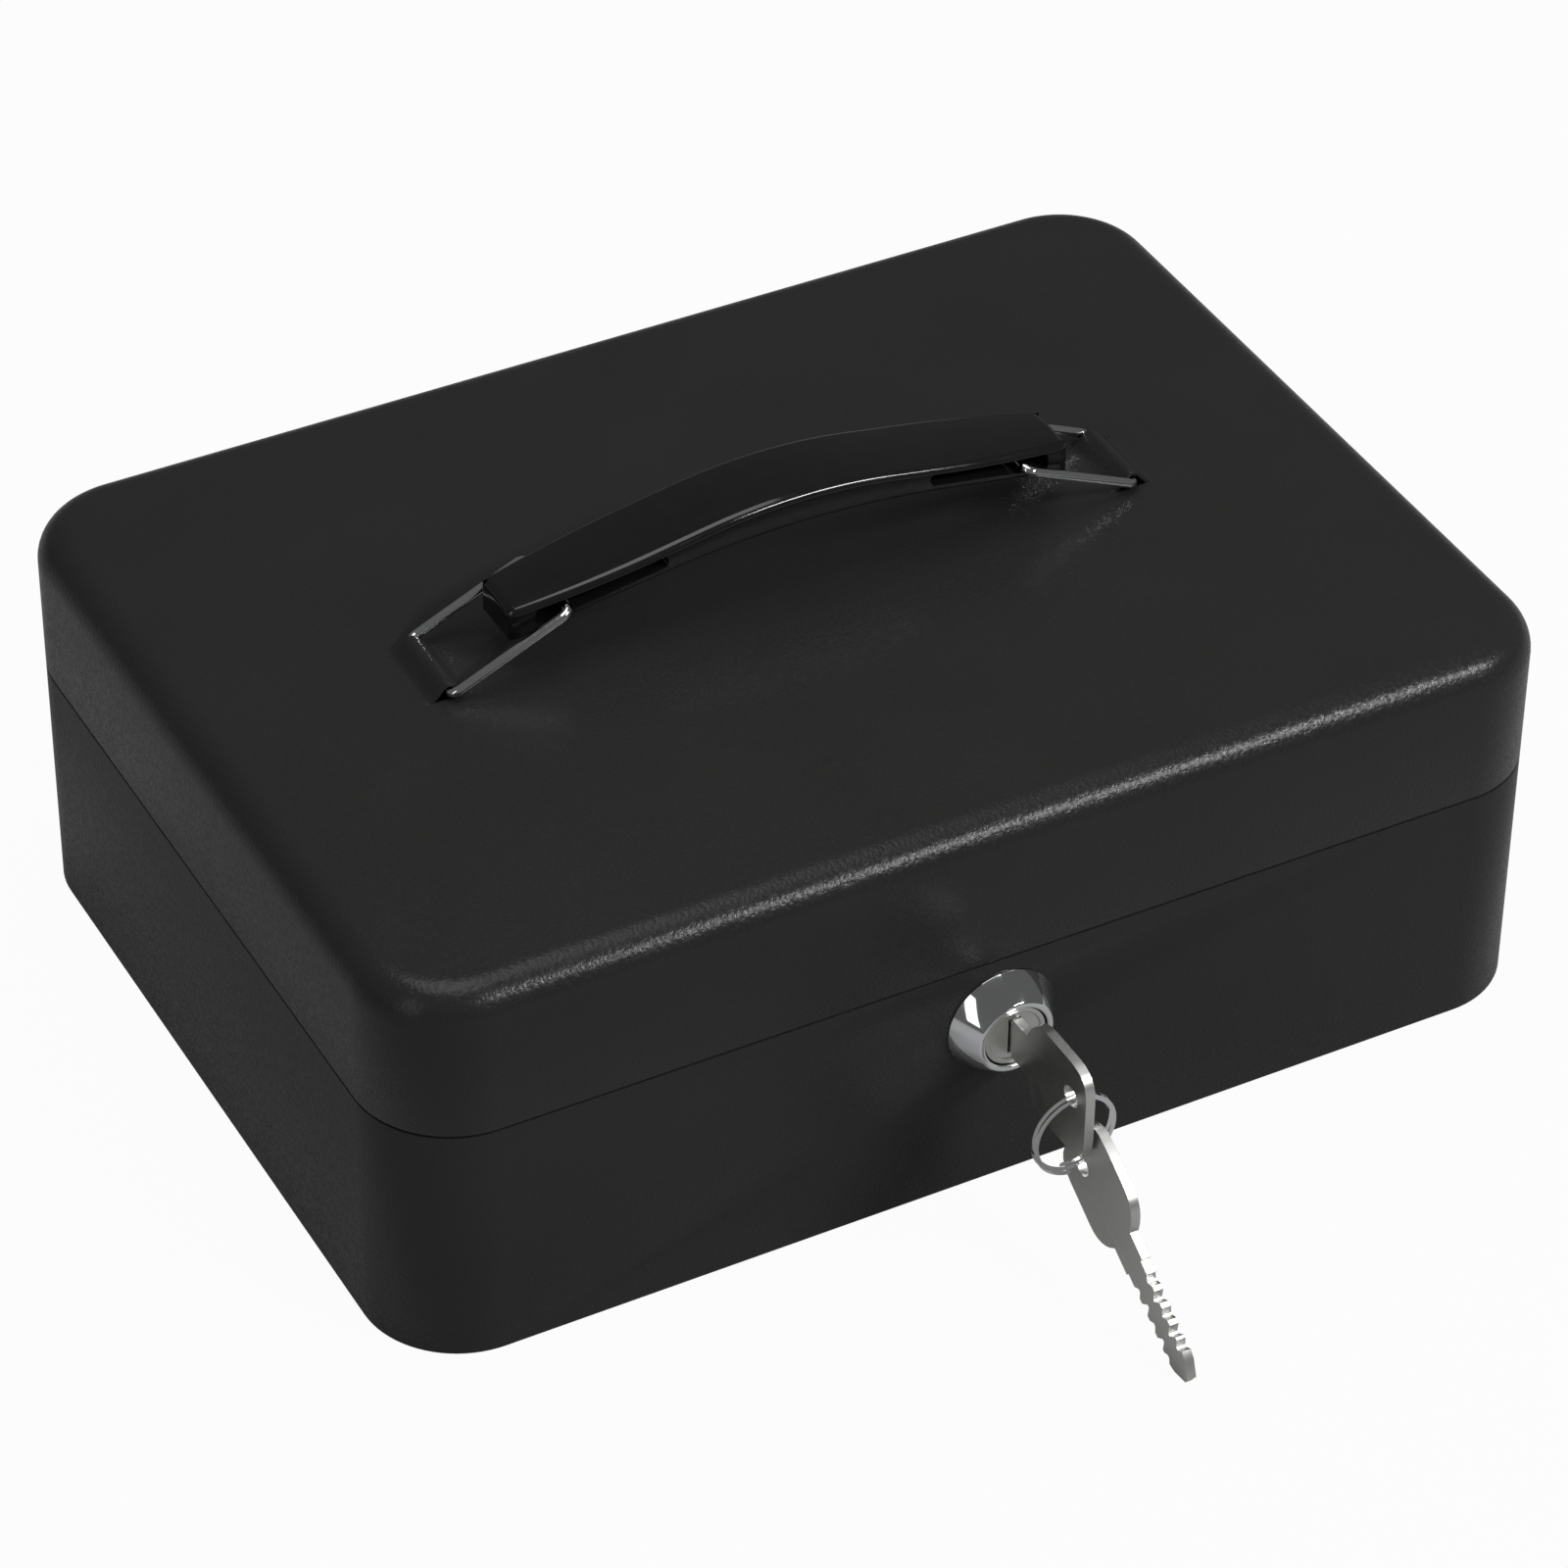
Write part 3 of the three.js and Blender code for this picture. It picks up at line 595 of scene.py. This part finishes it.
for side, name in ((-1, "left"), (1, "right")):
    outwards = Vector((-side * math.cos(BAIL_ANGLE), 0, math.sin(BAIL_ANGLE)))
    normal = Vector((0, 1, 0)).cross(outwards)
    half = SPAN - BEND
    quarter = ("bend", 1)
    path = [("straight", half - END_GAP / 2), quarter, ("straight", LEG - 2 * BEND), quarter,
            ("straight", 2 * half), quarter, ("straight", LEG - 2 * BEND), quarter,
            ("straight", half - END_GAP / 2)]
    bail, end = bent_wire(f"bail_wire_{name}", (side * BRIDGE_AT, END_GAP / 2, PIVOT_Z),
                          Vector((0, 1, 0)), path, WIRE, BEND, normal)
    smooth(bail, 50)
    print("bail end closes to", round((end - Vector((side * BRIDGE_AT, 0, PIVOT_Z))).length / MM, 3))
    hand_over(bail, f"bail_{name}", "chrome", f"bail_{name}")

# %% [markdown]
# ## Lock
#
# The lock's bezel is a chromed cone with a rolled lip. A cone primitive is inset at both ends;
# the back is extruded into the barrel, and the bore is opened by deleting the two inner faces
# and bridging their loops.

# %% Lock bezel and barrel
FACE = lock_low[1]
BORE = 6.8 * MM
FACE_RADIUS = 7.9 * MM
BASE_RADIUS = (lock_high[0] - lock_low[0]) / 2
BARREL = 7.7 * MM

bpy.ops.mesh.primitive_cone_add(vertices=96, radius1=BASE_RADIUS, radius2=FACE_RADIUS,
                                depth=FRONT - FACE, location=(0, (FRONT + FACE) / 2, LOCK_Z),
                                rotation=(math.pi / 2, 0, 0))
bezel = bpy.context.object
bezel.name = "lock_bezel"
settle(bezel)
edit(bezel, "FACE")
pick("faces", lambda face: face.normal.y < -0.9)
bpy.ops.mesh.inset(thickness=FACE_RADIUS - BORE)
bpy.ops.mesh.delete(type="FACE")
pick("faces", lambda face: face.normal.y > 0.9)
bpy.ops.mesh.inset(thickness=BASE_RADIUS - BARREL)
bpy.ops.mesh.extrude_region_move(TRANSFORM_OT_translate={"value": (0, lock_high[1] - FRONT, 0)})
bpy.ops.mesh.inset(thickness=BARREL - BORE)
bpy.ops.mesh.delete(type="FACE")
bpy.ops.mesh.select_mode(type="EDGE")
pick("edges", lambda edge: edge.is_boundary)
bpy.ops.mesh.bridge_edge_loops()
bpy.ops.mesh.select_all(action="SELECT")
bpy.ops.mesh.normals_make_consistent(inside=False)
leave()
soften(bezel, 0.35 * MM, 4, 40)
smooth(bezel, 35)
hand_over(bezel, "case", "chrome", "lock_housing")

# %% [markdown]
# The plug turns in the bore. Its face has a small rim and a keyway, cut with a thin block.

# %% Lock plug
plug_low, plug_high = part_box("lock_plug")
PLUG_RADIUS = (plug_high[0] - plug_low[0]) / 2
TAIL_RADIUS = 5 * MM
SHOULDER = lock_high[1] + 0.3 * MM
plug = cylinder("lock_plug_turned", PLUG_RADIUS, (0, (plug_low[1] + SHOULDER) / 2, LOCK_Z),
                SHOULDER - plug_low[1], sides=72)
edit(plug, "FACE")
pick("faces", lambda face: face.normal.y > 0.9)
bpy.ops.mesh.inset(thickness=PLUG_RADIUS - TAIL_RADIUS)
bpy.ops.mesh.extrude_region_move(TRANSFORM_OT_translate={"value": (0, plug_high[1] - SHOULDER, 0)})
pick("faces", lambda face: face.normal.y < -0.9)
bpy.ops.mesh.inset(thickness=0.9 * MM)
bpy.ops.mesh.inset(thickness=0.25 * MM, depth=-0.45 * MM)
leave()
KEYWAY = (1.3 * MM, 4.0 * MM)
KEYWAY_END = -71.5 * MM
carve(plug, cube("keyway", (-KEYWAY[0], plug_low[1] - 1 * MM, LOCK_Z - KEYWAY[1]),
                 (KEYWAY[0], KEYWAY_END, LOCK_Z + KEYWAY[1])))
soften(plug, 0.12 * MM, 2, 40)
smooth(plug, 35)
hand_over(plug, "lock", "nickel", "lock_plug")

# %% [markdown]
# ## Keys
#
# The CAD key already has the right outline, so a copy of its mesh is merged, freed of its
# loose triangles and given small rounded edges, as a stamped and tumbled blank has. The blade
# gets a milled groove along each side. The spare is a duplicate of the finished key, moved so
# that its hole hangs on the foot of the ring, and leaned until its tip just clears the ground.


# %% Copy of a CAD node
def copy_of(node_name, name, bevel, segments=2):
    source = frame["nodes"][node_name]
    piece = source.copy()
    piece.data = source.data.copy()
    for key in list(piece.keys()):
        del piece[key]
    piece.parent = None
    piece.name = name
    bpy.context.scene.collection.objects.link(piece)
    piece.matrix_world = Matrix.Identity(4)
    edit(piece)
    bpy.ops.mesh.select_all(action="SELECT")
    bpy.ops.mesh.remove_doubles(threshold=1e-6)
    bpy.ops.mesh.dissolve_limited(angle_limit=math.radians(1))
    bpy.ops.mesh.customdata_custom_splitnormals_clear()
    leave()
    if bevel:
        soften(piece, bevel, segments, 25)
    smooth(piece, 30)
    return piece


# %% Keys with grooved blades
key_low, key_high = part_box("lock_key")
KEY_TOP = key_high[0]
GROOVE_DEEP = 0.45 * MM
HOLE_AT = 5.5 * MM
HOLE_OFFSET = 2.5 * MM
HOLE_TO_WIRE = 4.625 * MM
SPARE_OFFSET = 2.8 * MM
SPARE_LEAN = math.radians(58.3)
RING_FOOT = 23.994 * MM
key = copy_of("lock_key", "key_in_lock", 0)
for side in (-1, 1):
    groove = cube("groove", (side * (KEY_TOP - GROOVE_DEEP / 2) - GROOVE_DEEP / 2, key_low[1] + 23 * MM,
                             LOCK_Z - 0.6 * MM),
                  (side * (KEY_TOP + GROOVE_DEEP / 2) + GROOVE_DEEP / 2, key_high[1] + 1 * MM,
                   LOCK_Z + 0.9 * MM))
    carve(key, groove)
soften(key, 0.22 * MM, 2, 30)
smooth(key, 30)

only(key)
bpy.ops.object.duplicate()
spare = bpy.context.object
spare.name = "key_on_ring"
spare.rotation_mode = "XYZ"
spare.location = (0, -key_low[1] - HOLE_TO_WIRE, -LOCK_Z - HOLE_OFFSET)
settle(spare)
spare.rotation_euler = (math.radians(270) - SPARE_LEAN, 0, 0)
settle(spare)
spare.location = (SPARE_OFFSET, key_low[1] + HOLE_AT, RING_FOOT)
settle(spare)

hand_over(key, "key", "nickel", "lock_key")
hand_over(spare, "spare_key", "nickel", "spare_key")

# %% [markdown]
# ## Split ring
#
# A split ring is hard wire wound twice round. A small circle stands for the wire's section and
# the Screw modifier winds it twice about the ring's own axis, rising by one wire a turn.

# %% Split ring
ring_low, ring_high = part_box("key_ring")
RING_WIRE = 0.5 * MM
RING_PITCH = 1.25 * MM
RING_RADIUS = (ring_high[2] - ring_low[2]) / 2 - RING_WIRE
RING_CENTRE = Vector((0, (ring_low[1] + ring_high[1]) / 2, (ring_low[2] + ring_high[2]) / 2))
RING_START = math.radians(100)

bpy.ops.mesh.primitive_circle_add(vertices=16, radius=RING_WIRE, rotation=(math.pi / 2, 0, 0))
ring = bpy.context.object
ring.name = "split_ring"
settle(ring)
edit(ring)
bpy.ops.mesh.select_all(action="SELECT")
bpy.ops.transform.rotate(value=math.pi / 2, orient_axis="X", center_override=(0, 0, 0))
bpy.ops.transform.translate(value=(RING_RADIUS, 0, 0))
leave()
apply_modifier(ring, "SCREW", angle=4 * math.pi, screw_offset=2 * RING_PITCH, steps=144,
               render_steps=144, axis="Z", use_normal_calculate=True)
edit(ring, "EDGE")
pick("edges", lambda edge: edge.is_boundary)
bpy.ops.mesh.edge_face_add()
bpy.ops.mesh.select_all(action="SELECT")
bpy.ops.mesh.normals_make_consistent(inside=False)
leave()
only(ring)
ring.location = RING_CENTRE + Vector((0, RING_PITCH, 0))
ring.rotation_euler = (math.pi / 2, RING_START, 0)
settle(ring)
smooth(ring, 60)
print("ring box:", [[round(c, 4) for c in ring.bound_box[i]] for i in (0, 6)])
hand_over(ring, "ring", "chrome", "key_ring")

# %% [markdown]
# ## Coin tray and small steel parts
#
# The tray and the hinges are right as they are, except for their knife-sharp edges, so each is
# a copy with softened edges. Pieces hidden inside keep their CAD mesh and get a finish.

# %% Tray, hinges and inner parts
BODY_OF = {name: body for body, names in frame["record"]["behaviour"]["bodies"].items() for name in names}
SLOT_OF = {row["node"]: row["material_slot"] for row in frame["record"]["subparts"]}

tray = copy_of("coin_tray", "tray_moulding", 0.4 * MM, 3)
hand_over(tray, "tray", "tray_plastic", "coin_tray")
for name in ("hinge_case_leaf_left", "hinge_case_leaf_right", "hinge_lid_leaf_left",
             "hinge_lid_leaf_right", "hinge_pin_left", "hinge_pin_right"):
    leaf = copy_of(name, name + "_finished", 0.2 * MM)
    hand_over(leaf, BODY_OF[name], SLOT_OF[name], name)

for name in ("case_floor", "tray_rest_left", "tray_rest_right", "lock_nut", "lid_strike",
             "lock_cam", "cam_screw"):
    for place in frame["nodes"][name].material_slots:
        place.material = FINISHES[SLOT_OF[name]]

# %% [markdown]
# ## Stage and light
#
# The floor is a wide grey sheet that glows only where the camera sees it, so it looks white but
# throws little light back. Soft lamps stand for a studio's boxes: a long thin one high on the
# right draws the highlight along the front edge of the lid, one overhead fills, and a weak one
# on the left models the corner.

# %% Floor
bpy.ops.mesh.primitive_plane_add(size=8, location=(0, 0, -0.0002))
floor = bpy.context.object
floor.name = "floor"
paper, paper_shader = new_material("paper", (0.34, 0.34, 0.34), 0.8, specular=0.1)
glow = node(paper, "ShaderNodeEmission", Strength=1.0)
seen = node(paper, "ShaderNodeLightPath")
fade = node(paper, "ShaderNodeMath", operation="MULTIPLY")
fade.inputs[1].default_value = 0.96
blend = node(paper, "ShaderNodeMixShader")
link(paper, seen.outputs["Is Camera Ray"], fade.inputs[0])
link(paper, fade.outputs[0], blend.inputs[0])
link(paper, paper_shader.outputs[0], blend.inputs[1])
link(paper, glow.outputs[0], blend.inputs[2])
link(paper, blend.outputs[0], paper.node_tree.nodes["Material Output"].inputs[0])
floor.data.materials.append(paper)


# %% Lamps
def soft_box(name, place, target, width, height, power):
    bpy.ops.object.light_add(type="AREA", location=place)
    lamp = bpy.context.object
    lamp.name = name
    lamp.data.shape = "RECTANGLE"
    lamp.data.size = width
    lamp.data.size_y = height
    lamp.data.energy = power
    lamp.rotation_euler = (Vector(target) - Vector(place)).to_track_quat("-Z", "Y").to_euler()


soft_box("box_right", (0.74, -1.0, 1.17), (0.05, -0.05, 0.05), 0.75, 0.1, 16)
soft_box("box_left", (-1.1, -0.5, 0.6), (0, 0, 0.05), 0.2, 0.9, 1)
soft_box("box_overhead", (0.0, 0.1, 1.6), (0, 0, 0), 1.0, 1.0, 9)

# The world is white to the camera, dimmer as a light, and darkest in reflections, which gives
# the chrome its contrast.
world = bpy.data.worlds.new("studio")
bpy.context.scene.world = world
world.use_nodes = True
sky = world.node_tree.nodes["Background"]
sky.inputs["Color"].default_value = (1, 1, 1, 1)
path_info = world.node_tree.nodes.new("ShaderNodeLightPath")
level = world.node_tree.nodes.new("ShaderNodeMapRange")
level.inputs["To Min"].default_value = 0.45
level.inputs["To Max"].default_value = 1.0
dim = world.node_tree.nodes.new("ShaderNodeMapRange")
dim.inputs["To Min"].default_value = 1.0
dim.inputs["To Max"].default_value = 0.25
product = world.node_tree.nodes.new("ShaderNodeMath")
product.operation = "MULTIPLY"
world.node_tree.links.new(path_info.outputs["Is Camera Ray"], level.inputs["Value"])
world.node_tree.links.new(path_info.outputs["Is Glossy Ray"], dim.inputs["Value"])
world.node_tree.links.new(level.outputs["Result"], product.inputs[0])
world.node_tree.links.new(dim.outputs["Result"], product.inputs[1])
world.node_tree.links.new(product.outputs[0], sky.inputs["Strength"])
bpy.context.scene.view_settings.view_transform = "Standard"
